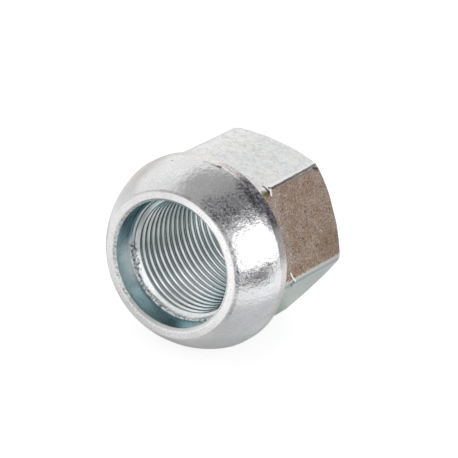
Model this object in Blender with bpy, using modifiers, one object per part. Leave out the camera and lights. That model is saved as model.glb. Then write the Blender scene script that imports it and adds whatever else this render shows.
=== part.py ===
"""A ball-seat lug nut, M22 x 1.5 with a 30 mm hexagon, lying on its side.

The nut is built upright along its own Z axis, seat end at zero and hexagon above it, and is then
laid down as it comes to rest: on the rim of its collar and the end of one flat of its hexagon.
"""
import math

import bmesh
import bpy
from mathutils import Matrix, Vector

# Driving dimensions, in metres
THREAD_DIAMETER = 0.022
THREAD_PITCH = 0.0015
ACROSS_FLATS = 0.030
LENGTH = 0.0297

SEAT_BALL_RADIUS = 0.018
SEAT_FACE_DIAMETER = 0.0264
COLLAR_DIAMETER = 0.0352
COLLAR_RIM_LENGTH = 0.0015
COLLAR_REAR_CHAMFER = 0.0003

COUNTERBORE_DIAMETER = 0.0231
COUNTERBORE_DEPTH = 0.0046
MOUTH_CHAMFER = 0.00055
RELIEF_DIAMETER = 0.0222
RELIEF_LENGTH = 0.00125
EXIT_SINK_DIAMETER = 0.0228

HEX_EDGE_RADIUS = 0.0020
HEX_ROOT_DEPTH = 0.001
END_CHAMFER_DIAMETER = 0.0302

# Angles of the turned chamfers, measured from the plane across the axis
END_CHAMFER_ANGLE = math.radians(30)
EXIT_SINK_ANGLE = math.radians(30)
LEAD_IN_ANGLE = math.radians(30)

# How finely round forms are divided
ROUND_STEPS = 120
SEAT_STEPS = 10
EDGE_STEPS = 4
SHARP_ANGLE = math.radians(25)

# How far a cutter runs past the metal
OVERRUN = 0.002

# The crest of an internal metric thread stands this many pitches inside the nominal diameter
THREAD_DEPTH_IN_PITCHES = 1.0825
HEX_CORNER_HALF_ANGLE = math.radians(30)

# Sizes that follow from the driving dimensions
bore_radius = (THREAD_DIAMETER - THREAD_DEPTH_IN_PITCHES * THREAD_PITCH) / 2
collar_radius = COLLAR_DIAMETER / 2
seat_face_radius = SEAT_FACE_DIAMETER / 2
ball_centre_height = math.sqrt(SEAT_BALL_RADIUS**2 - seat_face_radius**2)
ball_rim_angle = math.acos(min(1.0, collar_radius / SEAT_BALL_RADIUS))
collar_length = ball_centre_height - SEAT_BALL_RADIUS * math.sin(ball_rim_angle) + COLLAR_RIM_LENGTH
flat_distance = ACROSS_FLATS / 2
corner_distance = flat_distance / math.cos(HEX_CORNER_HALF_ANGLE)


def clear_scene():
    for obj in list(bpy.data.objects):
        bpy.data.objects.remove(obj, do_unlink=True)


def new_collection(name):
    collection = bpy.data.collections.new(name)
    bpy.context.scene.collection.children.link(collection)
    return collection


def zinc_plate():
    """Bright zinc plating with a faint blue tone."""
    material = bpy.data.materials.new("zinc_plate")
    material.use_nodes = True
    shader = material.node_tree.nodes["Principled BSDF"]
    shader.inputs["Base Color"].default_value = (0.62, 0.65, 0.67, 1.0)
    shader.inputs["Metallic"].default_value = 1.0
    shader.inputs["Roughness"].default_value = 0.32
    return material


def turned(name, profile, collection):
    """A solid of revolution. The profile holds (radius, height) points, from the top down."""
    mesh = bpy.data.meshes.new(name)
    points = [(radius, 0.0, height) for radius, height in profile]
    edges = [(i, i + 1) for i in range(len(points) - 1)]
    mesh.from_pydata(points, edges, [])
    obj = bpy.data.objects.new(name, mesh)
    collection.objects.link(obj)
    screw = obj.modifiers.new("turn", "SCREW")
    screw.axis = "Z"
    screw.angle = math.tau
    screw.steps = ROUND_STEPS
    screw.render_steps = ROUND_STEPS
    screw.use_merge_vertices = True
    screw.merge_threshold = 0.00001
    return obj


def as_cutter(obj):
    obj.hide_render = True
    obj.display_type = "WIRE"
    return obj


def seat_arc():
    """The spherical seat's section, from the collar's rim down to the flat ring at the seat end."""
    face_angle = math.acos(seat_face_radius / SEAT_BALL_RADIUS)
    points = []
    for step in range(SEAT_STEPS + 1):
        angle = ball_rim_angle + (face_angle - ball_rim_angle) * step / SEAT_STEPS
        radius = SEAT_BALL_RADIUS * math.cos(angle)
        height = ball_centre_height - SEAT_BALL_RADIUS * math.sin(angle)
        points.append((radius, height))
    points[-1] = (seat_face_radius, 0.0)
    return points


def collar(collection):
    """The round collar that carries the seat."""
    profile = [
        (0.0, collar_length),
        (collar_radius - COLLAR_REAR_CHAMFER, collar_length),
        (collar_radius, collar_length - COLLAR_REAR_CHAMFER),
    ]
    profile += seat_arc()
    profile += [(0.0, 0.0)]
    return turned("collar_blank", profile, collection)


def hexagon(collection):
    """The six flats with their rounded long edges, rooted inside the collar's rim."""
    root = collar_length - HEX_ROOT_DEPTH
    height = LENGTH - root
    # The primitive has a corner on Y, and the nut has a flat there
    placed = Matrix.Translation((0, 0, root + height / 2)) @ Matrix.Rotation(HEX_CORNER_HALF_ANGLE, 4, "Z")
    shape = bmesh.new()
    bmesh.ops.create_cone(
        shape,
        cap_ends=True,
        segments=6,
        radius1=corner_distance,
        radius2=corner_distance,
        depth=height,
        matrix=placed,
    )
    long_edges = [edge for edge in shape.edges if abs(edge.verts[0].co.z - edge.verts[1].co.z) > height / 2]
    bmesh.ops.bevel(
        shape,
        geom=long_edges,
        offset=HEX_EDGE_RADIUS * math.tan(HEX_CORNER_HALF_ANGLE),
        segments=EDGE_STEPS,
        profile=0.5,
        affect="EDGES",
    )
    mesh = bpy.data.meshes.new("lug_nut")
    shape.to_mesh(mesh)
    shape.free()
    obj = bpy.data.objects.new("lug_nut", mesh)
    collection.objects.link(obj)
    return obj


def end_blank(collection):
    """What the turned chamfer leaves of the hexagon's end."""
    outer = corner_distance + OVERRUN
    chamfer_start = END_CHAMFER_DIAMETER / 2
    drop = (outer - chamfer_start) * math.tan(END_CHAMFER_ANGLE)
    profile = [
        (0.0, LENGTH),
        (chamfer_start, LENGTH),
        (outer, LENGTH - drop),
        (outer, -OVERRUN),
        (0.0, -OVERRUN),
    ]
    return turned("end_blank", profile, collection)


def bore_cutter(collection):
    """The way through: exit countersink, tapping bore, lead-in, relief, counterbore, mouth chamfer."""
    exit_depth = (EXIT_SINK_DIAMETER / 2 - bore_radius) * math.tan(EXIT_SINK_ANGLE)
    exit_slope = 1 / math.tan(EXIT_SINK_ANGLE)
    relief_radius = RELIEF_DIAMETER / 2
    relief_end = COUNTERBORE_DEPTH + RELIEF_LENGTH
    lead_in_depth = (relief_radius - bore_radius) * math.tan(LEAD_IN_ANGLE)
    counterbore_radius = COUNTERBORE_DIAMETER / 2
    profile = [
        (0.0, LENGTH + OVERRUN),
        (EXIT_SINK_DIAMETER / 2 + OVERRUN * exit_slope, LENGTH + OVERRUN),
        (bore_radius, LENGTH - exit_depth),
        (bore_radius, relief_end + lead_in_depth),
        (relief_radius, relief_end),
        (relief_radius, COUNTERBORE_DEPTH),
        (counterbore_radius, COUNTERBORE_DEPTH),
        (counterbore_radius, MOUTH_CHAMFER),
        (counterbore_radius + MOUTH_CHAMFER + OVERRUN, -OVERRUN),
        (0.0, -OVERRUN),
    ]
    return turned("bore_cutter", profile, collection)


def combine(obj, operation, tool):
    boolean = obj.modifiers.new(tool.name, "BOOLEAN")
    boolean.operation = operation
    boolean.object = tool


def keep_result(obj):
    """Makes the modifiers' result the object's own mesh, smooth with its true edges sharp."""
    graph = bpy.context.evaluated_depsgraph_get()
    mesh = bpy.data.meshes.new_from_object(obj.evaluated_get(graph))
    obj.modifiers.clear()
    obj.data = mesh
    mesh.name = obj.name
    mesh.shade_smooth()
    mesh.set_sharp_from_angle(angle=SHARP_ANGLE)


def rest_tilt():
    """How far the axis dips towards the hexagon when the nut lies on its collar and one flat."""
    drop = collar_radius - flat_distance
    run = LENGTH - (collar_length - COLLAR_REAR_CHAMFER)
    return math.atan2(drop, run)


def lay_down(carrier, nut):
    """Lays the nut on the floor with one flat down, its box centred over the origin."""
    carrier.rotation_euler = (-(math.pi / 2 + rest_tilt()), 0.0, 0.0)
    bpy.context.view_layer.update()
    points = [nut.matrix_world @ vertex.co for vertex in nut.data.vertices]
    lowest = Vector([min(point[axis] for point in points) for axis in range(3)])
    highest = Vector([max(point[axis] for point in points) for axis in range(3)])
    middle = (lowest + highest) / 2
    carrier.location -= Vector((middle.x, middle.y, lowest.z))


def build():
    clear_scene()
    parts = new_collection("ball_seat_lug_nut")
    cutters = new_collection("cutters")

    carrier = bpy.data.objects.new("rest_pose", None)
    parts.objects.link(carrier)

    nut = hexagon(parts)
    tools = [end_blank(cutters), collar(cutters), bore_cutter(cutters)]
    for tool, operation in zip(tools, ("INTERSECT", "UNION", "DIFFERENCE")):
        as_cutter(tool)
        combine(nut, operation, tool)
    keep_result(nut)
    nut.data.materials.clear()
    nut.data.materials.append(zinc_plate())

    for obj in [nut] + tools:
        obj.parent = carrier
    lay_down(carrier, nut)


build()
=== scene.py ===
"""Looks of the ball-seat lug nut: its detailed metal, its plating, and the light it lies in."""
import math

import bmesh
import bpy
import numpy as np
from mathutils import Matrix, Vector


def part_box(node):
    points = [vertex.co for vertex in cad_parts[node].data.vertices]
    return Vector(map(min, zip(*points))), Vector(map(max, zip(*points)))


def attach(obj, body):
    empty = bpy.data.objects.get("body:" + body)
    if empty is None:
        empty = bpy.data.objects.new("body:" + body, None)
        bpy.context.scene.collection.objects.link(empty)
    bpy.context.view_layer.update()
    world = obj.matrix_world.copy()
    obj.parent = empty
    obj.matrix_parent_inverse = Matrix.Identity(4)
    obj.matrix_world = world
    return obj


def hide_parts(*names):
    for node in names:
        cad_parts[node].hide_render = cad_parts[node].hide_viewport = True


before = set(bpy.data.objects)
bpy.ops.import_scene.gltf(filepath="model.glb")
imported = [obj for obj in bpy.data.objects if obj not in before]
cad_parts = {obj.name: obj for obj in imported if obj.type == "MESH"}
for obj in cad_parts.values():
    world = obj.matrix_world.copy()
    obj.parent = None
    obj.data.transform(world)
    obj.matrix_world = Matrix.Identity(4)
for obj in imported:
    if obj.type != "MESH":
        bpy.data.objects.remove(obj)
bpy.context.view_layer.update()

# A metre in millimetres
METRE = 1000.0

# Sizes of the nut in millimetres, as in the part's source, whose diameters are radii here except
# the thread's
THREAD_DIAMETER = 22.0
PITCH = 1.5
THREAD_DEPTH_IN_PITCHES = 1.0825
FLAT = 15.0
LENGTH = 29.7
BALL = 18.0
SEAT_FACE = 13.2
COLLAR = 17.6
RIM = 1.5
REAR_CHAMFER = 0.3
COUNTERBORE = 11.55
COUNTERBORE_DEPTH = 4.6
MOUTH_CHAMFER = 0.55
RELIEF_RADIUS = 11.1
EXIT_SINK = 11.4
HEX_EDGE = 2.0
END_CHAMFER = 15.1
SLOPE_30 = math.tan(math.radians(30))

# Sizes that follow from them
CREST = (THREAD_DIAMETER - THREAD_DEPTH_IN_PITCHES * PITCH) / 2
ROOT = THREAD_DIAMETER / 2
BALL_HEIGHT = math.sqrt(BALL**2 - SEAT_FACE**2)
SEAT_LENGTH = BALL_HEIGHT - BALL * math.sin(math.acos(COLLAR / BALL))
COLLAR_LENGTH = SEAT_LENGTH + RIM

# The hexagon: the turn from flat to flat, its sharp corner, the centre of an edge's rounding, and
# half the turn that a flat takes up
SECTOR = math.pi / 3
HEX_CORNER = FLAT / math.cos(SECTOR / 2)
EDGE_CENTRE = HEX_CORNER - HEX_EDGE / math.cos(SECTOR / 2)
FLAT_HALF_TURN = math.atan((HEX_CORNER / 2 - HEX_EDGE * SLOPE_30) / FLAT)

# The relief as seen, shorter than in the solid, and how far the thread's first turn is shifted
RELIEF = 0.55
RELIEF_TAPER = 0.1
RELIEF_END = COUNTERBORE_DEPTH + RELIEF
THREAD_SHIFT = 1.1

# The collar's band as seen, a tenth of a millimetre inside the solid
BAND = 17.5

# The counterbore as drilled, a little to one side, which leaves the ring wider towards +X
DRILLED_OVER = 0.14

# The hexagon's end: the least break of its edge, the fillet on the flats, and the extra fillet on
# the corners, which starts at this radius and is full after this run, and is least towards +X
END_EDGE_BREAK = 0.12
END_FILLET = 0.2
CORNER_WEAR = 1.25
WEAR_STARTS = 15.3
WEAR_RUN = 1.6

# How finely the skin is divided: columns on a flat and on a rounded edge, and steps on the ball
FLAT_COLUMNS = 30
EDGE_COLUMNS = 9
BALL_STEPS = 30

# Directions round the axis in which the nut's reach is looked for as it is laid down
LAYING_STEPS = 720

# A fillet takes at most this share of each side of its corner
FILLET_ROOM = 0.45

# The internal thread's section over one pitch, as (share of the pitch, share of the thread's depth)
THREAD_SECTION = (
    (0.0, 0.0), (0.09, 0.0), (0.145, 0.065), (0.28, 0.496), (0.42, 0.944), (0.46, 0.985),
    (0.5, 1.0), (0.54, 0.985), (0.58, 0.944), (0.72, 0.496), (0.855, 0.065), (0.91, 0.0),
)

# The surfaces with their own material, in the order of the material slots
SEAT, RIM_BAND, FLATS, RING, MOUTH, BORE, THREAD = range(7)

# The camera, in metres, as fitted to the view
CAMERA_PLACE = (0.249659, -0.417396, 0.337526)
CAMERA_FORWARD = (-0.427307, 0.719619, -0.547318)
CAMERA_UP = (-0.394522, 0.396278, 0.829045)
FOCAL_PIXELS = 3345.7
IMAGE_PIXELS = 458
SENSOR = 36.0


def hex_radius(angle):
    """The hexagon's outline with rounded corners: flats on Y, corners on X."""
    from_flat = (angle + math.pi / 2) % SECTOR
    from_flat = min(from_flat, SECTOR - from_flat)
    if from_flat <= FLAT_HALF_TURN:
        return FLAT / math.cos(from_flat)
    off = SECTOR / 2 - from_flat
    return EDGE_CENTRE * math.cos(off) + math.sqrt(HEX_EDGE**2 - (EDGE_CENTRE * math.sin(off)) ** 2)


def end_height(radius):
    """Where the turned end chamfer meets metal of this radius."""
    return LENGTH - max(0.0, radius - END_CHAMFER) * SLOPE_30


def cad_corners():
    """Points of the upright nut that reach furthest when it lies down, in metres."""
    points = []
    for step in range(LAYING_STEPS):
        angle = math.tau * step / LAYING_STEPS
        for radius, height in (
            (SEAT_FACE, 0.0),
            (COLLAR, SEAT_LENGTH),
            (COLLAR, COLLAR_LENGTH - REAR_CHAMFER),
            (COLLAR - REAR_CHAMFER, COLLAR_LENGTH),
            (min(hex_radius(angle), END_CHAMFER), LENGTH),
            (hex_radius(angle), end_height(hex_radius(angle))),
        ):
            points.append(Vector((radius * math.cos(angle), radius * math.sin(angle), height)) / METRE)
    return points


def axis_to_world():
    """The turn and shift that lay the upright nut on the floor as the CAD does."""
    tilt = math.atan2(COLLAR - FLAT, LENGTH - (COLLAR_LENGTH - REAR_CHAMFER))
    turn = Matrix.Rotation(-(math.pi / 2 + tilt), 4, "X")
    moved = [turn @ corner for corner in cad_corners()]
    lowest = Vector([min(point[k] for point in moved) for k in range(3)])
    highest = Vector([max(point[k] for point in moved) for k in range(3)])
    middle = (lowest + highest) / 2
    low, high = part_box("lug_nut")
    shift = Vector(((low.x + high.x) / 2 - middle.x, (low.y + high.y) / 2 - middle.y, low.z - lowest.z))
    return Matrix.Translation(shift) @ turn


def fillet_arc(before, corner, after, fillet, steps):
    """The corner rounded to an arc of points, as large as its two sides have room for."""
    back, ahead = before - corner, after - corner
    length_back, length_ahead = np.linalg.norm(back), np.linalg.norm(ahead)
    back, ahead = back / length_back, ahead / length_ahead
    half = math.acos(max(-1.0, min(1.0, float(back @ ahead)))) / 2
    reach = min(fillet / math.tan(half), FILLET_ROOM * length_back, FILLET_ROOM * length_ahead)
    radius = reach * math.tan(half)
    centre = corner + (back + ahead) / np.linalg.norm(back + ahead) * radius / math.sin(half)
    first = corner + back * reach - centre
    last = corner + ahead * reach - centre
    turn = math.pi - 2 * half
    arc = []
    for step in range(steps + 1):
        share = step / steps
        spoke = (math.sin((1 - share) * turn) * first + math.sin(share * turn) * last) / math.sin(turn)
        arc.append(centre + spoke)
    return arc


def rounded(corners):
    """The section's points and the surface that follows each of them.

    A corner is (radius, height, fillet, steps in the fillet, cuts before the next corner, surface).
    """
    places = [np.array(corner[:2]) for corner in corners]
    last = len(corners) - 1
    arcs = []
    for i, (_, _, fillet, steps, _, _) in enumerate(corners):
        if fillet > 0 and 0 < i < last:
            arcs.append(fillet_arc(places[i - 1], places[i], places[i + 1], fillet, steps))
        else:
            arcs.append([places[i]])
    path, surfaces = [], []
    for i, (_, _, _, _, cuts, surface) in enumerate(corners):
        path.extend(arcs[i])
        if i < last:
            start, end = arcs[i][-1], arcs[i + 1][0]
            path.extend(start + (end - start) * cut / (cuts + 1) for cut in range(1, cuts + 1))
        surfaces.extend([surface] * (len(path) - len(surfaces)))
    return path, surfaces


def outer_section(angle):
    """From the relief's edge through counterbore, seat, collar and hexagon to the exit."""
    hexagon = hex_radius(angle)
    top = min(END_CHAMFER, hexagon - END_EDGE_BREAK)
    chamfer_low = LENGTH - (hexagon - top) * SLOPE_30
    wall = COUNTERBORE - DRILLED_OVER * (1 + math.cos(angle))
    wear = CORNER_WEAR * (1 - math.cos(angle) / 2)
    worn_corner = END_FILLET + wear * max(0.0, min(1.0, (hexagon - WEAR_STARTS) / WEAR_RUN))
    corners = [
        (RELIEF_RADIUS + RELIEF_TAPER, COUNTERBORE_DEPTH, 0, 0, 0, THREAD),
        (wall, COUNTERBORE_DEPTH, 0.03, 2, 5, BORE),
        (wall, MOUTH_CHAMFER, 0.15, 3, 1, MOUTH),
        (wall + MOUTH_CHAMFER, 0.0, 0.3, 4, 2, RING),
        (SEAT_FACE, 0.0, 0.2, 4, 0, SEAT),
    ]
    face_angle, band_angle = math.acos(SEAT_FACE / BALL), math.acos(BAND / BALL)
    for step in range(1, BALL_STEPS + 1):
        turn = face_angle + (band_angle - face_angle) * step / BALL_STEPS
        surface = SEAT if step < BALL_STEPS else RIM_BAND
        corners.append((BALL * math.cos(turn), BALL_HEIGHT - BALL * math.sin(turn), 0, 0, 0, surface))
    corners += [
        (BAND, COLLAR_LENGTH - REAR_CHAMFER, 0.12, 2, 0, RIM_BAND),
        (COLLAR - REAR_CHAMFER, COLLAR_LENGTH, 0.06, 2, 0, RIM_BAND),
        (hexagon, COLLAR_LENGTH, 0.18, 4, 26, FLATS),
        (hexagon, chamfer_low, worn_corner, 6, 2, FLATS),
        (top, LENGTH, 0.15, 3, 6, RING),
        (EXIT_SINK, LENGTH, 0, 0, 0, RING),
    ]
    return rounded(corners)


def column_angles():
    """Angles round the axis, closer together on the hexagon's rounded edges."""
    flat_turn = 2 * FLAT_HALF_TURN
    edge_turn = SECTOR - flat_turn
    angles = []
    for sector in range(6):
        start = math.tau * sector / 6 + SECTOR / 2 - FLAT_HALF_TURN
        angles += [start + flat_turn * step / FLAT_COLUMNS for step in range(FLAT_COLUMNS)]
        angles += [start + flat_turn + edge_turn * step / EDGE_COLUMNS for step in range(EDGE_COLUMNS)]
    return angles


def bore_radius(height, thread_radius):
    """The bore's wall: the thread, where the relief, its cone and the exit countersink leave it."""
    along = (height - COUNTERBORE_DEPTH) / RELIEF
    if along < 1:
        relief = RELIEF_RADIUS + RELIEF_TAPER * (1 - along)
    else:
        relief = RELIEF_RADIUS - (along - 1) * RELIEF / SLOPE_30
    sink = EXIT_SINK - (LENGTH - height) / SLOPE_30
    return max(thread_radius, relief, sink)


class Skin:
    """Points and faces of one closed skin, in the nut's own millimetres."""

    def __init__(self):
        self.points, self.faces, self.surfaces = [], [], []

    def point(self, radius, height, angle):
        self.points.append((radius * math.cos(angle), radius * math.sin(angle), height))
        return len(self.points) - 1

    def face(self, corners, surface):
        """A face through these points, each taken once, or none where they run together."""
        loop = list(dict.fromkeys(corners))
        if len(loop) >= 3:
            self.faces.append(loop)
            self.surfaces.append(surface)


def thread_column(skin, angle, relief_edge, exit_edge):
    """The thread at this angle from the exit down, ending on the two edges' points."""
    turns = math.ceil((LENGTH - COUNTERBORE_DEPTH) / PITCH) + 2
    column = []
    for turn in range(turns):
        for share, depth in THREAD_SECTION:
            height = LENGTH + THREAD_SHIFT - PITCH * (turn + share) + PITCH * angle / math.tau
            if height >= LENGTH:
                column.append(exit_edge)
            elif height <= COUNTERBORE_DEPTH:
                column.append(relief_edge)
            else:
                radius = bore_radius(height, CREST + (ROOT - CREST) * depth)
                column.append(skin.point(radius, height, angle))
    return column


def nut_skin():
    """The whole nut as one closed skin of rings and helical rows."""
    skin = Skin()
    outer, thread = [], []
    for angle in column_angles():
        section, surfaces = outer_section(angle)
        outer.append([skin.point(radius, height, angle) for radius, height in section])
        thread.append(thread_column(skin, angle, outer[-1][0], outer[-1][-1]))
    last = len(thread[0]) - 1
    for i in range(len(outer)):
        j = (i + 1) % len(outer)
        here, beside = outer[i], outer[j]
        for k, surface in enumerate(surfaces[:-1]):
            skin.face((here[k], beside[k], beside[k + 1], here[k + 1]), surface)
        # Where the turn closes, the rows have moved on by one pitch
        shift = len(THREAD_SECTION) if j == 0 else 0
        here, beside = thread[i], thread[j]
        for k in range(last + shift):
            upper, lower = here[min(k, last)], here[min(k + 1, last)]
            skin.face((upper, beside[max(0, k - shift)], beside[max(0, k + 1 - shift)], lower), THREAD)
    return skin


def nut_mesh():
    """The skin as a mesh on the floor, which keeps the nut's own millimetres for its materials."""
    skin = nut_skin()
    place = axis_to_world()
    made = bpy.data.meshes.new("nut_metal")
    made.from_pydata([place @ (Vector(point) / METRE) for point in skin.points], [], skin.faces)
    made.polygons.foreach_set("material_index", skin.surfaces)
    made.validate()
    own_place = made.attributes.new("nut_mm", "FLOAT_VECTOR", "POINT")
    own_place.data.foreach_set("vector", np.array(skin.points).astype(np.float32).ravel())
    outward = bmesh.new()
    outward.from_mesh(made)
    bmesh.ops.recalc_face_normals(outward, faces=outward.faces)
    outward.to_mesh(made)
    outward.free()
    made.shade_smooth()
    return made


def add_object(name, data):
    obj = bpy.data.objects.new(name, data)
    bpy.context.scene.collection.objects.link(obj)
    return obj


def nut_object(mesh):
    """The nut with normals weighted by area, so that its large faces look flat."""
    obj = add_object("nut_metal", mesh)
    weigh = obj.modifiers.new("even_normals", "WEIGHTED_NORMAL")
    weigh.weight = 60
    weigh.keep_sharp = True
    return obj


class Tree:
    """Short calls for building one node tree."""

    def __init__(self, tree):
        self.tree = tree
        tree.nodes.clear()

    def node(self, kind, **settings):
        made = self.tree.nodes.new(kind)
        for key, value in settings.items():
            setattr(made, key, value)
        return made

    def put(self, socket, value):
        """Links a node's output to the socket, or sets a constant there."""
        if isinstance(value, bpy.types.NodeSocket):
            self.tree.links.new(value, socket)
        else:
            socket.default_value = value

    def math(self, operation, *values):
        made = self.node("ShaderNodeMath", operation=operation)
        for socket, value in zip(made.inputs, values):
            self.put(socket, value)
        return made.outputs[0]

    def vector(self, operation, first, second, output=0):
        made = self.node("ShaderNodeVectorMath", operation=operation)
        self.put(made.inputs[0], first)
        self.put(made.inputs[1], second)
        return made.outputs[output]

    def parts(self, vector):
        made = self.node("ShaderNodeSeparateXYZ")
        self.put(made.inputs[0], vector)
        return made.outputs

    def times(self, first, *others):
        """The product of several values."""
        for value in others:
            first = self.math("MULTIPLY", first, value)
        return first

    def most(self, values):
        """The greatest of several values."""
        top = values[0]
        for value in values[1:]:
            top = self.math("MAXIMUM", top, value)
        return top

    def scaled(self, value, factor, offset):
        return self.math("MULTIPLY_ADD", value, factor, offset)

    def minus(self, first, second):
        return self.math("SUBTRACT", first, second)

    def step(self, value, low, high, start=0.0, end=1.0):
        """A smooth change from start to end as the value goes from low to high."""
        made = self.node("ShaderNodeMapRange", interpolation_type="SMOOTHSTEP")
        names = ("Value", "From Min", "From Max", "To Min", "To Max")
        for name, given in zip(names, (value, low, high, start, end)):
            self.put(made.inputs[name], given)
        return made.outputs["Result"]

    def fall(self, value, low, high, most=1.0):
        """This much below low, and nothing above high."""
        return self.step(value, low, high, most, 0.0)

    def window(self, value, low, high, soft):
        """One between low and high, with soft ends."""
        rise = self.step(value, low - soft, low + soft)
        return self.times(rise, self.fall(value, high - soft, high + soft))

    def mix(self, share, first, second, blend="MIX"):
        made = self.node("ShaderNodeMix", data_type="RGBA", blend_type=blend)
        self.put(made.inputs["Factor"], share)
        for name, value in (("A", first), ("B", second)):
            self.put(made.inputs[name], (*value, 1.0) if isinstance(value, tuple) else value)
        return made.outputs["Result"]

    def noise(self, vector, scale, detail, roughness):
        made = self.node("ShaderNodeTexNoise")
        names = ("Vector", "Scale", "Detail", "Roughness")
        for name, given in zip(names, (vector, scale, detail, roughness)):
            self.put(made.inputs[name], given)
        return made.outputs["Fac"]

    def bump(self, height, depth, normal=None):
        """The height as small relief, this many millimetres deep."""
        made = self.node("ShaderNodeBump")
        self.put(made.inputs["Distance"], depth / METRE)
        self.put(made.inputs["Height"], height)
        if normal is not None:
            self.put(made.inputs["Normal"], normal)
        return made.outputs["Normal"]


class Zinc(Tree):
    """Zinc plating on one surface: a cloudy metal with a fine grain.

    Places are in the nut's own millimetres. Height runs from the seat end, x from the axis towards
    the edge between the brown and the green flat, and y away from the top flat, which is at -15.
    Sides are in degrees from x towards y: the top flat's is -90, the brown one's -30, the green 30.
    """

    def __init__(self, name, roughness, grain=(1.0, 1.0, 1.0)):
        self.material = bpy.data.materials.new(name)
        self.material.use_nodes = True
        super().__init__(self.material.node_tree)
        out = self.node("ShaderNodeOutputMaterial")
        self.shader = self.node("ShaderNodeBsdfPrincipled")
        self.shader.inputs["Metallic"].default_value = 1.0
        self.put(out.inputs["Surface"], self.shader.outputs[0])
        self.place = self.node("ShaderNodeAttribute", attribute_name="nut_mm").outputs["Vector"]
        self.x, self.y, self.height = self.parts(self.place)
        grained = self.vector("MULTIPLY", self.place, grain)
        self.clouds = self.noise(self.place, 0.35, 3.0, 0.55)
        self.middle = self.noise(grained, 1.3, 3.0, 0.6)
        self.grain = self.noise(grained, 3.0, 2.5, 0.65)
        self.roughness = self.scaled(self.grain, 0.12, roughness - 0.06)

    def finish(self, colour, normal):
        self.put(self.shader.inputs["Base Color"], colour)
        self.put(self.shader.inputs["Roughness"], self.roughness)
        self.put(self.shader.inputs["Normal"], normal)
        return self.material

    def side(self, degrees):
        """How far a place lies out from the axis in this direction."""
        turn = math.radians(degrees)
        return self.vector("DOT_PRODUCT", self.place, (math.cos(turn), math.sin(turn), 0.0), "Value")

    def radius(self):
        """How far a place is from the axis."""
        return self.math("SQRT", self.math("ADD", self.times(self.x, self.x), self.times(self.y, self.y)))

    def pattern(self, scale, detail, roughness, shift=None):
        """Noise over the metal, or another stretch of it where a shift is given."""
        place = self.vector("ADD", self.place, shift) if shift else self.place
        return self.noise(place, scale, detail, roughness)

    def near(self, centre, inner, outer):
        """One within the inner distance of a point, and nothing past the outer one."""
        return self.fall(self.vector("DISTANCE", self.place, centre, "Value"), inner, outer)

    def near_line(self, start, end, inner, outer, most=1.0):
        """This much within the inner distance of a straight line, and nothing past the outer one."""
        along = Vector(end) - Vector(start)
        away = self.vector("SUBTRACT", self.place, start)
        share = self.vector("DOT_PRODUCT", away, tuple(along / along.length_squared), "Value")
        share = self.math("MINIMUM", self.math("MAXIMUM", share, 0.0), 1.0)
        foot = self.vector("SCALE", tuple(along), (0.0, 0.0, 0.0))
        self.put(foot.node.inputs["Scale"], share)
        return self.fall(self.vector("DISTANCE", away, foot, "Value"), inner, outer, most)

    def marks(self, lines):
        """Where any of the marks is, each given as near_line takes it."""
        return self.most([self.near_line(*line) for line in lines])

    def mottled(self, colour, clouds, grain):
        """The colour, darker by these shares in the clouds and in the grain."""
        soft = self.step(self.clouds, 0.35, 0.65, 1.0 - clouds, 1.0)
        fine = self.step(self.grain, 0.38, 0.62, 1.0 - grain, 1.0)
        return self.mix(1.0, colour, self.times(soft, fine), "MULTIPLY")

    def tinted(self, colour, share, tint):
        """The colour, multiplied by the tint over this share."""
        return self.mix(share, colour, self.mix(1.0, colour, tint, "MULTIPLY"))


# The clean plating's colour
ZINC = (0.76, 0.762, 0.765)

# Painted shade in dark speckles on the seat, as a line's two ends, inner and outer distance in millimetres
SHADE_SPECKLES = (
    ((7.2, -13.6, 3.4), (10.2, -14.2, 7.4), 1.9, 3.3),
    ((4.4, -13.6, 1.2), (9.0, -11.4, 1.7), 0.8, 2.3),
    ((6.6, -16.0, 7.3), (9.5, -14.6, 7.6), 0.6, 1.9),
    ((13.2, -3.6, 0.6), (14.4, -4.2, 2.6), 0.3, 1.6),
    ((15.2, -5.6, 4.6), (16.2, -5.6, 6.4), 0.2, 1.1),
    ((8.8, -12.8, 2.9), (11.6, -12.4, 5.2), 0.2, 1.7),
)

# Darker clumps of painted shade among the specks, in the same form
CLUMPS = (
    ((6.5, -12.3, 0.8), (8.2, -11.8, 1.4), 0.2, 1.3),
    ((7.1, -16.0, 8.0), (9.2, -14.6, 7.1), 0.2, 1.0),
    ((8.0, -13.1, 2.9), (8.4, -13.2, 3.6), 0.1, 0.9),
)

# Nicks and cracks, and on the seat a thin dark line along its edge at the ring, in the same form with their
# strength
SEAT_MARKS = (
    ((-1.7, -17.2, 7.3), (-0.1, -17.3, 7.4), 0.0, 0.4, 0.35),
    ((-0.1, -17.3, 7.4), (1.1, -17.3, 7.6), 0.0, 0.38, 0.65),
    ((1.0, -17.3, 7.6), (1.4, -17.3, 7.7), 0.15, 0.42, 1.0),
    ((12.8, -4.6, 0.4), (12.9, -4.5, 0.6), 0.05, 0.3, 1.0),
    ((-7.3, -15.3, 6.2), (-7.2, -15.4, 6.2), 0.05, 0.3, 0.7),
    ((-9.8, -9.3, 0.35), (-7.6, -11.0, 0.25), 0.0, 0.3, 0.3),
    ((-7.6, -11.0, 0.25), (-5.0, -12.4, 0.2), 0.0, 0.3, 0.4),
    ((-5.0, -12.4, 0.2), (-2.6, -13.1, 0.2), 0.0, 0.4, 0.5),
    ((-2.6, -13.1, 0.2), (1.0, -13.4, 0.3), 0.0, 0.5, 0.35),
)
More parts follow.
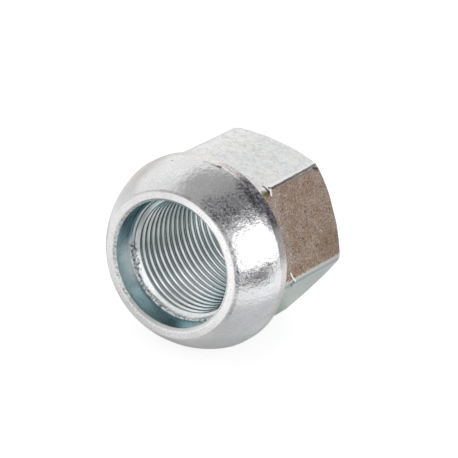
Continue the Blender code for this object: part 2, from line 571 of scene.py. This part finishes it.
EDGE_NICKS = (
    ((7.7, -15.0, 12.4), (8.4, -14.8, 12.4), 0.14, 0.28, 1.0),
    ((8.4, -14.8, 12.4), (9.0, -14.4, 12.5), 0.2, 0.36, 1.0),
    ((8.4, -14.75, 13.1), (8.8, -14.5, 14.2), 0.1, 0.24, 1.0),
    ((8.7, -14.55, 26.9), (9.1, -14.2, 27.8), 0.12, 0.48, 0.85),
    ((17.0, -0.3, 13.0), (17.0, 0.1, 13.6), 0.06, 0.2, 1.0),
    ((17.0, 0.1, 12.7), (16.8, 0.9, 13.1), 0.14, 0.3, 1.0),
)
FLAKES = (
    ((8.85, -14.5, 13.25), (9.35, -13.8, 12.95), 0.14, 0.28),
    ((16.35, -1.65, 12.85), (16.8, -0.9, 13.15), 0.08, 0.22),
    ((16.8, -0.9, 13.15), (17.0, -0.05, 14.0), 0.08, 0.2),
)

# Small specks on the brown flat, as a line's two ends, with their inner and outer distance
PALE_SPECKS = (
    ((9.6, -13.4, 14.7), (9.6, -13.4, 15.5)),
    ((9.95, -12.8, 16.7), (10.0, -12.7, 17.1)),
    ((10.2, -12.3, 13.5), (10.5, -11.8, 13.2)),
    ((11.5, -10.1, 13.4), (11.7, -9.7, 13.5)),
    ((12.3, -8.7, 13.3), (12.5, -8.4, 13.6)),
    ((14.8, -4.4, 14.1), (15.0, -4.1, 14.4)),
    ((15.4, -3.3, 13.7), (15.6, -3.0, 14.0)),
    ((14.2, -5.4, 24.4), (14.4, -5.1, 24.8)),
    ((13.1, -7.3, 14.4), (13.3, -6.9, 14.6)),
)
PALE_SPECK_SIZE = (0.04, 0.19)
DARK_SPECKS = (
    ((14.0, -5.7, 18.6), (14.2, -5.5, 18.9)),
    ((12.0, -9.2, 21.2), (12.1, -9.1, 21.4)),
    ((15.2, -3.6, 22.0), (15.3, -3.5, 22.2)),
)
DARK_SPECK_SIZE = (0.05, 0.3)

# Paler margins of the brown flat along the collar, in the form of the seat's speckles
BROWN_MARGINS = (
    ((10.2, -12.4, 13.3), (12.4, -8.6, 13.0), 0.5, 1.7),
    ((14.6, -4.7, 14.0), (15.6, -3.0, 13.4), 0.4, 1.5),
)

# Tints of the seat
# Painted shade in the speckles and their clumps
SPECK_SHADE_TINT = (0.29, 0.285, 0.305)
CLUMP_SHADE_TINT = (0.50, 0.48, 0.49)
# Painted shade, warmer, towards the seat's left edge
LEFT_EDGE_SHADE_TINT = (0.86, 0.83, 0.79)
# Bluer plating clouds on the seat towards the green flat, lighter as a painted sheen
COOL_SHEEN_TINT = (1.07, 1.09, 1.13)
# Painted shade, slate, on the seat next to the band
SEAT_SLATE_SHADE_TINT = (0.30, 0.30, 0.34)
# Painted shade on the seat beside the ring
RING_SIDE_SHADE_TINT = (0.55, 0.54, 0.55)
# Painted shade deepening the dark patch below the highlight
DARK_PATCH_SHADE_TINT = (0.80, 0.78, 0.79)
SEAT_MARK_TINT = (0.25, 0.24, 0.24)


def seat_material():
    """The ball seat: speckled and slate towards the band and dark beside the ring, all painted shade, and
    nicked.
    """
    t = Zinc("zinc_seat", 0.13)
    speckle_shade_zone = t.marks(SHADE_SPECKLES)
    specks = t.step(t.pattern(2.5, 4.0, 0.85), 0.44, 0.58)
    blots = t.step(t.pattern(0.7, 3.0, 0.6, (3.0, 8.0, 2.0)), 0.38, 0.60, 0.5, 1.0)
    veins = t.pattern(1.6, 4.0, 0.75)
    cloudy = t.step(t.pattern(0.9, 3.0, 0.6), 0.40, 0.60, 0.35, 1.0)
    clumps = t.times(t.marks(CLUMPS), t.step(specks, 0.0, 1.0, 0.4, 1.0))
    slate = t.times(t.step(t.height, 6.0, 7.2), t.step(t.side(-55), 16.1, 16.9))
    slate = t.times(slate, t.step(veins, 0.36, 0.6, 1.0, 0.5))
    # Painted shade in a thin band beside the ring
    ring_side_shade = t.times(t.window(t.radius(), 13.3, 13.75, 0.12), t.step(t.side(-20), 9.0, 12.0))
    ring_side_shade = t.times(ring_side_shade, t.step(veins, 0.38, 0.6, 0.3, 1.0))
    colour = t.mottled(ZINC, 0.05, 0.10)
    for share, tint in (
        (t.times(specks, speckle_shade_zone, blots), SPECK_SHADE_TINT),
        (clumps, CLUMP_SHADE_TINT),
        (t.step(t.side(-150), 13.5, 16.5), LEFT_EDGE_SHADE_TINT),
        (t.times(t.step(t.side(18), 13.0, 15.5), cloudy), COOL_SHEEN_TINT),
        (slate, SEAT_SLATE_SHADE_TINT),
        (ring_side_shade, RING_SIDE_SHADE_TINT),
        (t.near((14.9, -4.1, 2.9), 0.4, 2.2), DARK_PATCH_SHADE_TINT),
        (t.marks(SEAT_MARKS), SEAT_MARK_TINT),
    ):
        colour = t.tinted(colour, share, tint)
    lift = t.times(veins, t.scaled(speckle_shade_zone, 1.5, 0.5))
    return t.finish(colour, t.bump(lift, 0.04, t.bump(t.middle, 0.08)))


# The collar's band and its tints: slate and pink painted shade, cream a painted highlight
BAND_TONE = (0.76, 0.745, 0.73)
BAND_SLATE_SHADE_TINT = (0.11, 0.11, 0.135)
BAND_CREAM_HIGHLIGHT_TINT = (1.05, 1.03, 0.99)
BAND_PINK_SHADE_TINT = (0.62, 0.57, 0.57)


def rim_material():
    """The collar's band: slate painted shade at the upper long edge, pinkish painted shade and a cream
    painted highlight along the top flat.
    """
    t = Zinc("zinc_rim", 0.24)
    uneven = t.step(t.pattern(1.3, 3.0, 0.75), 0.40, 0.60, 0.7, 1.0)
    blotchy = t.step(t.pattern(2.2, 3.0, 0.7), 0.42, 0.56)
    colour = t.mottled(BAND_TONE, 0.08, 0.16)
    for share, tint in (
        (t.times(t.step(t.side(-56), 16.2, 17.1), uneven), BAND_SLATE_SHADE_TINT),
        (t.step(t.side(-105), 16.4, 17.3), BAND_CREAM_HIGHLIGHT_TINT),
        (t.times(t.step(t.side(-72), 16.7, 17.3), blotchy), BAND_PINK_SHADE_TINT),
    ):
        colour = t.tinted(colour, share, tint)
    return t.finish(colour, t.bump(t.grain, 0.05))


# Tints of the top flat, the collar one painted shade
TOP_WARM_TINT = (0.95, 0.945, 0.93)
TOP_COOL_TINT = (0.88, 0.90, 0.91)
TOP_BRIGHT_TINT = (1.02, 1.02, 1.02)
TOP_COLLAR_SHADE_TINT = (0.84, 0.83, 0.82)
SCRATCH_TINT = (0.82, 0.81, 0.79)
DUST_TINT = (0.84, 0.835, 0.82)


def with_top_flat(t, colour):
    """The top flat, dusty and faintly scratched, brighter towards -x, with painted shade next to the
    collar.
    """
    top_flat = t.step(t.side(-90), FLAT - 0.12, FLAT - 0.02)
    top_tone_and_shade = t.mix(t.step(t.clouds, 0.4, 0.6), TOP_WARM_TINT, TOP_COOL_TINT)
    top_tone_and_shade = t.mix(t.fall(t.x, -8.0, 0.0), top_tone_and_shade, TOP_BRIGHT_TINT)
    top_tone_and_shade = t.tinted(top_tone_and_shade, t.fall(t.height, 10.5, 14.0), TOP_COLLAR_SHADE_TINT)
    # The scratches are level lines of a slow noise, nine over its range
    curl = t.times(t.pattern(0.42, 2.0, 0.5, (7.0, 3.0, 1.0)), 9.0)
    curl = t.math("ABSOLUTE", t.minus(t.math("FRACT", curl), 0.5))
    patchy = t.step(t.pattern(0.6, 4.0, 0.75, (1.0, 6.0, 4.0)), 0.48, 0.60)
    scratch = t.times(t.fall(curl, 0.05, 0.35), patchy)
    dust = t.step(t.pattern(1.3, 4.0, 0.7), 0.42, 0.66)
    colour = t.tinted(colour, top_flat, top_tone_and_shade)
    colour = t.tinted(colour, t.times(scratch, top_flat), SCRATCH_TINT)
    return t.tinted(colour, t.times(dust, top_flat), DUST_TINT)


# The brown flat's colours and tints; its browns are plating colour painted darker as shade
PALE_BROWN_AND_SHADE = (0.72, 0.56, 0.435)
DEEP_BROWN_AND_SHADE = (0.62, 0.43, 0.295)
PIT_TINT = (0.46, 0.43, 0.42)
SALT = (1.0, 0.92, 0.84)
FAR_CORNER_TINT = (0.80, 0.76, 0.72)
MARGIN = (0.90, 0.85, 0.81)
PALE_SPECK = (1.0, 0.98, 0.95)
DARK_SPECK = (0.25, 0.19, 0.15)
END_LINE = (0.60, 0.53, 0.52)


def brown_share(t):
    """The brown flat, from below the painted dark line in its upper edge to a ragged line at its lower one.
    """
    past_start = t.minus(t.side(30), t.step(t.height, 13.0, 26.0, 0.45, 0.62))
    past_end = t.minus(t.side(60), t.step(t.height, 13.0, 28.0, 7.98, 7.82))
    past_end = t.math("ADD", past_end, t.scaled(t.pattern(1.7, 3.0, 0.7), 0.8, -0.4))
    between = t.times(t.step(past_start, -0.12, 0.3), t.fall(past_end, -0.15, 0.15))
    return t.times(between, t.step(t.side(-30), FLAT - 0.5, FLAT - 0.3))


def brown_colour(t):
    """Brown plating, painted darker as shade, with pale and dark grains, paler along the collar and greyer
    at the end.
    """
    salt = t.step(t.pattern(3.3, 3.5, 0.8), 0.50, 0.60)
    pits = t.step(t.pattern(2.6, 3.5, 0.8, (5.0, 0.0, 3.0)), 0.50, 0.60)
    brown = t.mix(t.step(t.pattern(0.45, 4.0, 0.6), 0.42, 0.58), PALE_BROWN_AND_SHADE, DEEP_BROWN_AND_SHADE)
    brown = t.tinted(brown, pits, PIT_TINT)
    brown = t.mix(t.times(salt, 0.7), brown, SALT)
    brown = t.tinted(brown, t.near((15.9, -2.5, 26.6), 1.5, 6.0), FAR_CORNER_TINT)
    brown = t.mix(t.times(t.marks(BROWN_MARGINS), t.step(salt, 0.0, 1.0, 0.25, 0.9)), brown, MARGIN)
    for specks, size, tone in (
        (PALE_SPECKS, PALE_SPECK_SIZE, PALE_SPECK),
        (DARK_SPECKS, DARK_SPECK_SIZE, DARK_SPECK),
    ):
        brown = t.mix(t.marks([(*ends, *size) for ends in specks]), brown, tone)
    over = t.math("MAXIMUM", t.minus(t.radius(), END_CHAMFER), 0.0)
    to_end = t.minus(t.scaled(over, -SLOPE_30, LENGTH), t.height)
    return t.mix(t.fall(to_end, 0.1, 0.5), brown, END_LINE)


# Tints of the green flat and of the edge above it, greenish and darkened as painted shade
GREEN_COLLAR_AND_SHADE_TINT = (0.60, 0.73, 0.57)
GREEN_AND_SHADE_TINT = (0.59, 0.73, 0.65)
GREEN_EDGE_AND_SHADE_TINT = (0.53, 0.72, 0.76)
EDGE_COLLAR_SHADE_TINT = (0.58, 0.66, 0.65)
EDGE_SHADE_TINT = (0.58, 0.56, 0.57)


def with_green_flat(t, colour, brown_flat):
    """The lower flat, faintly green and darkened as painted shade, and the edge between it and the brown
    one, darker as painted shade.
    """
    green_flat = t.times(t.step(t.side(30), FLAT - 0.5, FLAT - 0.3), t.step(t.y, 0.85, 1.3))
    green = t.mix(t.step(t.height, 14.0, 22.0), GREEN_COLLAR_AND_SHADE_TINT, GREEN_AND_SHADE_TINT)
    green = t.mix(t.fall(t.y, 1.4, 4.5, 0.6), green, GREEN_EDGE_AND_SHADE_TINT)
    colour = t.tinted(colour, green_flat, green)
    edge = t.times(t.step(t.side(0), 16.3, 16.6), t.fall(t.y, 0.5, 1.1), t.minus(1.0, brown_flat))
    return t.tinted(colour, edge, t.mix(t.step(t.height, 18.0, 27.0), EDGE_COLLAR_SHADE_TINT, EDGE_SHADE_TINT))


# Tints and colours of the marks along the hexagon's two long edges; the dark line is a painted reflection,
# the mauve below it painted shade
BELOW_EDGE_LINE_SHADE_TINT = (0.62, 0.55, 0.50)
EDGE_LINE_AND_NICK_TINT = (0.18, 0.17, 0.17)
OLIVE_TINT = (0.40, 0.41, 0.27)
FLAKE = (0.97, 0.97, 0.96)


def with_edge_marks(t, colour, brown_flat):
    """A dark line painted as a reflection in the upper edge, painted mauve shade below it, and the nicks
    and flakes at both edges' roots.
    """
    off_edge = t.side(30)
    wander = t.noise(t.vector("MULTIPLY", t.place, (1.0, 1.0, 0.6)), 0.8, 3.0, 0.6)
    shade_line_at = t.math("ADD", t.scaled(t.height, -0.014, 0.40), t.scaled(wander, 0.5, -0.25))
    off_shade_line = t.math("ABSOLUTE", t.minus(off_edge, shade_line_at))
    on_edge = t.times(t.step(t.side(-60), 16.5, 16.8), t.step(t.height, 13.5, 13.9))
    shade_line = t.times(t.fall(off_shade_line, 0.12, 0.27), on_edge, t.step(t.grain, 0.3, 0.55, 0.75, 1.0))
    below_shade_line = t.times(t.step(off_edge, 0.12, 0.3), on_edge, t.minus(1.0, brown_flat))
    flakes = t.marks(FLAKES)
    colour = t.tinted(colour, below_shade_line, BELOW_EDGE_LINE_SHADE_TINT)
    colour = t.tinted(colour, t.most([shade_line, t.marks(EDGE_NICKS)]), EDGE_LINE_AND_NICK_TINT)
    colour = t.tinted(colour, t.near_line((8.7, -14.5, 11.0), (9.1, -14.2, 12.1), 0.25, 0.8), OLIVE_TINT)
    t.roughness = t.scaled(flakes, 0.6, t.roughness)
    return t.mix(flakes, colour, FLAKE)


def flats_material():
    """The hexagon: plain plating, and on the three flats in view their own colours, partly painted shade,
    and marks.
    """
    t = Zinc("zinc_flats", 0.19, (1.0, 1.0, 1.3))
    brown_flat = brown_share(t)
    colour = with_top_flat(t, t.mottled(ZINC, 0.03, 0.05))
    colour = t.mix(brown_flat, colour, brown_colour(t))
    colour = with_green_flat(t, colour, brown_flat)
    colour = with_edge_marks(t, colour, brown_flat)
    return t.finish(colour, t.bump(t.grain, 0.02, t.bump(t.middle, 0.05)))


# The two flat end rings: their tone from one side to the other, brighter as a painted highlight, and their
# dots
RING_DIM = (0.75, 0.745, 0.74)
RING_PAINTED_HIGHLIGHT = (0.94, 0.935, 0.93)
DOT_TINT = (0.55, 0.54, 0.53)


def ring_material():
    """The flat rings at both ends, brighter towards +x as a painted highlight, with a few dots."""
    t = Zinc("zinc_ring", 0.26)
    dots = t.step(t.pattern(1.9, 3.0, 0.7), 0.60, 0.68)
    tone = t.mix(t.step(t.side(10), -6.0, 6.0), RING_DIM, RING_PAINTED_HIGHLIGHT)
    return t.finish(t.tinted(t.mottled(tone, 0.06, 0.09), dots, DOT_TINT), t.bump(t.grain, 0.03))


# The mouth's specks and its softer side, pale as a painted sheen
MOUTH_SPECK_TINT = (0.5, 0.5, 0.5)
MOUTH_PALE_SHEEN = (0.95, 0.95, 0.94)


def mouth_material():
    """The chamfer at the counterbore's mouth, speckled towards -x and soft towards +x, where a painted
    sheen makes it pale.
    """
    t = Zinc("zinc_mouth", 0.42)
    specks = t.times(t.step(t.pattern(2.2, 4.0, 0.75), 0.46, 0.58), t.fall(t.x, -9.0, -2.0))
    rough_sheen_side = t.step(t.x, 2.0, 8.0)
    colour = t.tinted(t.mottled(ZINC, 0.05, 0.1), specks, MOUTH_SPECK_TINT)
    t.roughness = t.scaled(rough_sheen_side, 0.4, t.roughness)
    return t.finish(t.mix(rough_sheen_side, colour, MOUTH_PALE_SHEEN), t.bump(t.grain, 0.07))


# Tints of the counterbore's wall: its teal, a painted highlight and two painted shades
TEAL_TINT = (0.65, 0.91, 0.97)
TEAL_HIGHLIGHT_TINT = (1.16, 1.30, 1.31)
TEAL_DARK_SHADE_TINT = (0.16, 0.34, 0.36)
TEAL_LOW_SHADE_TINT = (0.20, 0.36, 0.40)


def bore_material():
    """The counterbore's teal wall, with a painted highlight in one pale stretch and painted shade in two
    dark ones.
    """
    t = Zinc("zinc_bore", 0.18, (1.0, 1.0, 2.0))
    pale = t.times(t.step(t.side(154), 10.6, 11.5), t.step(t.height, 1.0, 4.2, 0.25, 1.0))
    teal = t.mix(pale, TEAL_TINT, TEAL_HIGHLIGHT_TINT)
    teal = t.mix(t.step(t.side(-122), 7.5, 10.3), teal, TEAL_DARK_SHADE_TINT)
    teal = t.mix(t.step(t.side(108), 10.6, 11.4, 0.0, 0.45), teal, TEAL_LOW_SHADE_TINT)
    t.put(t.shader.inputs["Metallic"], t.scaled(pale, -0.45, 1.0))
    return t.finish(t.mix(1.0, t.mottled(ZINC, 0.06, 0.08), teal, "MULTIPLY"), t.bump(t.grain, 0.015))


# Tints of the thread, its painted highlights and shade, and the relief's colours with the tints of its cone
# and its torn foot
SHINE_TINT = (1.10, 1.14, 1.135)
BRIGHT_SHINE_TINT = (1.28, 1.30, 1.30)
CREST_SHADE_TINT = (0.53, 0.58, 0.60)
GROOVE_SHADE_TINT = (0.11, 0.15, 0.155)
STRETCH_SHADE_TINT = (0.52, 0.55, 0.53)
DIM_TINT = (0.70, 0.71, 0.71)
RELIEF_TONE = (0.98, 0.98, 0.99)
# Painted shade on one side of the relief, at its lip and on its cone
RELIEF_SHADE = (0.73, 0.745, 0.78)
RELIEF_BLUE = (0.84, 0.91, 0.96)
LIP_SHADE = (0.07, 0.15, 0.17)
CONE_SHADE_TINT = (0.58, 0.60, 0.60)
TORN_TINT = (0.22, 0.22, 0.22)


def thread_colour(t):
    """The thread's flanks brightened as a painted highlight, and painted shade on its crests, in its
    grooves and in two stretches.
    """
    inside = t.step(t.height, RELIEF_END + 0.3, RELIEF_END + 0.9)
    bright = t.times(t.step(t.y, 6.5, 10.0), t.step(t.height, 9.0, 15.0))
    shine = t.mix(bright, SHINE_TINT, BRIGHT_SHINE_TINT)
    colour = t.mix(1.0, t.mottled(ZINC, 0.05, 0.08), shine, "MULTIPLY")
    for share, tint in (
        (t.fall(t.radius(), CREST + 0.02, CREST + 0.12), CREST_SHADE_TINT),
        (t.step(t.radius(), CREST + 0.26, CREST + 0.60), GROOVE_SHADE_TINT),
        (t.near_line((-10.3, 1.8, 8.5), (-9.9, 2.4, 19.0), 1.4, 5.0), STRETCH_SHADE_TINT),
        (t.near_line((-8.6, 6.2, 9.0), (-7.4, 7.7, 24.0), 1.5, 5.0), DIM_TINT),
    ):
        colour = t.tinted(colour, t.times(share, inside), tint)
    return colour


def with_relief(t, colour, relief):
    """The paler relief with painted shade on one side, at its lip and on its cone, and the torn metal at
    its foot.
    """
    pale = t.mix(t.step(t.side(165), 6.0, 10.5), RELIEF_TONE, RELIEF_SHADE)
    pale = t.mix(t.step(t.side(-140), 8.0, 10.5), pale, RELIEF_BLUE)
    lip = t.step(t.radius(), RELIEF_RADIUS + 0.07, RELIEF_RADIUS + 0.13)
    pale = t.mix(t.times(lip, t.step(t.side(-140), 6.5, 9.0)), pale, LIP_SHADE)
    colour = t.mix(relief, colour, pale)
    cone = t.window(t.height, RELIEF_END, RELIEF_END + 0.9, 0.15)
    colour = t.tinted(colour, t.times(cone, t.step(t.side(-178), 8.5, 10.5)), CONE_SHADE_TINT)
    reach = t.near_line((-10.7, 3.4, 4.8), (-9.6, 5.7, 5.0), 0.4, 2.4)
    foot = t.fall(t.minus(t.height, t.times(reach, 0.5)), COUNTERBORE_DEPTH + 0.2, COUNTERBORE_DEPTH + 0.85)
    torn = t.times(foot, t.step(t.pattern(2.1, 3.5, 0.8), 0.47, 0.54), t.step(t.y, 1.0, 2.6))
    return t.tinted(colour, torn, TORN_TINT)


def thread_material():
    """The threaded bore, and the relief before it, which is rougher and less of a mirror."""
    t = Zinc("zinc_thread", 0.16)
    relief = t.fall(t.height, RELIEF_END - 0.1, RELIEF_END + 0.1)
    colour = with_relief(t, thread_colour(t), relief)
    t.roughness = t.scaled(relief, 0.5, t.roughness)
    t.put(t.shader.inputs["Metallic"], t.scaled(relief, -0.75, 1.0))
    return t.finish(colour, t.bump(t.grain, 0.01))


def make_camera():
    forward = Vector(CAMERA_FORWARD).normalized()
    right = forward.cross(Vector(CAMERA_UP)).normalized()
    up = right.cross(forward)
    camera_data = bpy.data.cameras.new("camera")
    camera_data.sensor_width = SENSOR
    camera_data.lens = FOCAL_PIXELS / IMAGE_PIXELS * SENSOR
    camera_data.clip_start = 0.01
    camera_data.clip_end = 100.0
    camera = add_object("camera", camera_data)
    turn = Matrix((right, up, -forward)).transposed().to_4x4()
    camera.matrix_world = Matrix.Translation(CAMERA_PLACE) @ turn
    bpy.context.scene.camera = camera
    bpy.context.scene.view_settings.view_transform = "Standard"


def grey(level):
    return (level, level, level)


# The floor as it lights the metal: pale under the nut, darker in a ring round it as a painted shadow, pale
# further out, and duller at the back left as painted shade
FLOOR_NEAR, FLOOR_PAINTED_SHADOW, FLOOR_FAR, FLOOR_LEFT_SHADE = grey(0.84), grey(0.54), grey(0.86), grey(0.66)

# The floor as the camera sees it: white, and a little darker where the nut keeps the light off
SEEN_FLOOR, SEEN_GLOW = grey(0.3), 0.81

# Half the floor's width in metres
FLOOR_HALF_SIZE = 3


def floor_material():
    """A pale paper, whose own glow makes it white to the camera only, and which shows other rays a painted
    shadow ring and painted shade.
    """
    material = bpy.data.materials.new("floor")
    material.use_nodes = True
    t = Tree(material.node_tree)
    out = t.node("ShaderNodeOutputMaterial")
    spot = t.node("ShaderNodeNewGeometry").outputs["Position"]
    away = t.vector("LENGTH", spot, (0.0, 0.0, 0.0), "Value")
    along_x, along_y, _ = t.parts(spot)
    tone = t.mix(t.step(away, 0.014, 0.026), FLOOR_NEAR, FLOOR_PAINTED_SHADOW)
    tone = t.mix(t.step(away, 0.036, 0.054), tone, FLOOR_FAR)
    left = t.times(t.fall(along_x, -0.07, -0.025), t.step(along_y, -0.01, 0.02))
    # The paper as other rays see it, with the painted shadow and shade
    plain = t.node("ShaderNodeBsdfDiffuse")
    t.put(plain.inputs["Color"], t.mix(left, tone, FLOOR_LEFT_SHADE))
    seen = t.node("ShaderNodeBsdfDiffuse")
    seen.inputs["Color"].default_value = (*SEEN_FLOOR, 1.0)
    glow = t.node("ShaderNodeEmission")
    glow.inputs["Strength"].default_value = SEEN_GLOW
    both = t.node("ShaderNodeAddShader")
    t.put(both.inputs[0], seen.outputs[0])
    t.put(both.inputs[1], glow.outputs[0])
    either = t.node("ShaderNodeMixShader")
    t.put(either.inputs[0], t.node("ShaderNodeLightPath").outputs["Is Camera Ray"])
    t.put(either.inputs[1], plain.outputs[0])
    t.put(either.inputs[2], both.outputs[0])
    t.put(out.inputs["Surface"], either.outputs[0])
    return material


def make_floor():
    half = FLOOR_HALF_SIZE
    corners = [(-half, -half, 0), (half, -half, 0), (half, half, 0), (-half, half, 0)]
    mesh = bpy.data.meshes.new("floor")
    mesh.from_pydata(corners, [], [(0, 1, 2, 3)])
    mesh.materials.append(floor_material())
    floor = add_object("floor", mesh)


def make_world():
    """A photographer's tent: walls, ceiling, softbox, grey screen, and a dark gap above a lilac screen.

    Azimuths are in degrees from +Y towards +X, and elevations in degrees above the horizon.
    """
    world = bpy.data.worlds.new("tent")
    bpy.context.scene.world = world
    world.use_nodes = True
    t = Tree(world.node_tree)
    out = t.node("ShaderNodeOutputWorld")
    background = t.node("ShaderNodeBackground")
    t.put(out.inputs["Surface"], background.outputs[0])
    toward_x, toward_y, toward_z = t.parts(t.node("ShaderNodeTexCoord").outputs["Generated"])
    azimuth = t.math("DEGREES", t.math("ARCTAN2", toward_x, toward_y))
    elevation = t.math("DEGREES", t.math("ARCSINE", toward_z))
    ceiling = t.mix(t.step(toward_x, -0.35, 0.45), grey(0.50), (0.26, 0.255, 0.265))
    walls = t.mix(t.step(azimuth, -105, -70), grey(0.92), grey(1.1))
    walls = t.mix(t.step(azimuth, 128, 140), walls, grey(1.2))
    tent = t.mix(t.step(elevation, 43, 58), walls, ceiling)
    front = t.times(t.window(azimuth, 118, 133, 4), t.fall(elevation, 40, 60))
    dark_gap = t.times(t.window(azimuth, 20, 60, 5), t.window(elevation, 34, 52, 4))
    lilac = t.times(t.window(azimuth, 21, 56, 3), t.fall(elevation, 30, 36))
    softbox = t.times(t.window(azimuth, 60, 113, 2), t.window(elevation, 8, 41, 4))
    for share, light in (
        (front, (0.66, 0.65, 0.68)),
        (dark_gap, (0.11, 0.105, 0.12)),
        (lilac, (0.42, 0.40, 0.42)),
        (softbox, grey(2.2)),
        (t.node("ShaderNodeLightPath").outputs["Is Camera Ray"], grey(1.0)),
    ):
        tent = t.mix(share, tent, light)
    t.put(background.inputs["Color"], tent)


def make_card(name, colour, near, far, height):
    """A card that stands on the floor between two places, and that only mirrors see."""
    (x0, y0), (x1, y1) = near, far
    corners = [(x0, y0, 0.0), (x1, y1, 0.0), (x1, y1, height), (x0, y0, height)]
    mesh = bpy.data.meshes.new(name)
    mesh.from_pydata(corners, [], [(0, 1, 2, 3)])
    material = bpy.data.materials.new(name)
    material.use_nodes = True
    t = Tree(material.node_tree)
    out = t.node("ShaderNodeOutputMaterial")
    glow = t.node("ShaderNodeEmission")
    glow.inputs["Color"].default_value = (*colour, 1.0)
    t.put(out.inputs["Surface"], glow.outputs[0])
    mesh.materials.append(material)
    card = add_object(name, mesh)
    card.visible_camera = False
    card.visible_diffuse = False
    card.visible_shadow = False


# The lamp's place and width in metres, and its power in watts
LAMP_PLACE = (-0.1, 0.0, 1.0)
LAMP_WIDTH = 0.8
LAMP_POWER = 6.0


def make_lamp():
    """A wide lamp overhead, for the soft shadow."""
    light = bpy.data.lights.new("overhead", "AREA")
    light.shape = "DISK"
    light.size = LAMP_WIDTH
    light.energy = LAMP_POWER
    lamp = add_object("overhead", light)
    lamp.location = LAMP_PLACE
    lamp.visible_glossy = False
    lamp.visible_camera = False


# The nut, with its materials in the order of the surfaces
metal = nut_mesh()
for make in (
    seat_material, rim_material, flats_material, ring_material,
    mouth_material, bore_material, thread_material,
):
    metal.materials.append(make())
nut = nut_object(metal)
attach(nut, "root")
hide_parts("lug_nut")

# The stage around it
make_camera()
make_floor()
make_world()
make_card("dark_edge", (0.24, 0.235, 0.24), near=(0.10, -0.07), far=(0.10, 0.012), height=0.022)
make_card("grey_card", (0.42, 0.41, 0.42), near=(0.10, 0.05), far=(0.03, 0.13), height=0.045)
make_lamp()
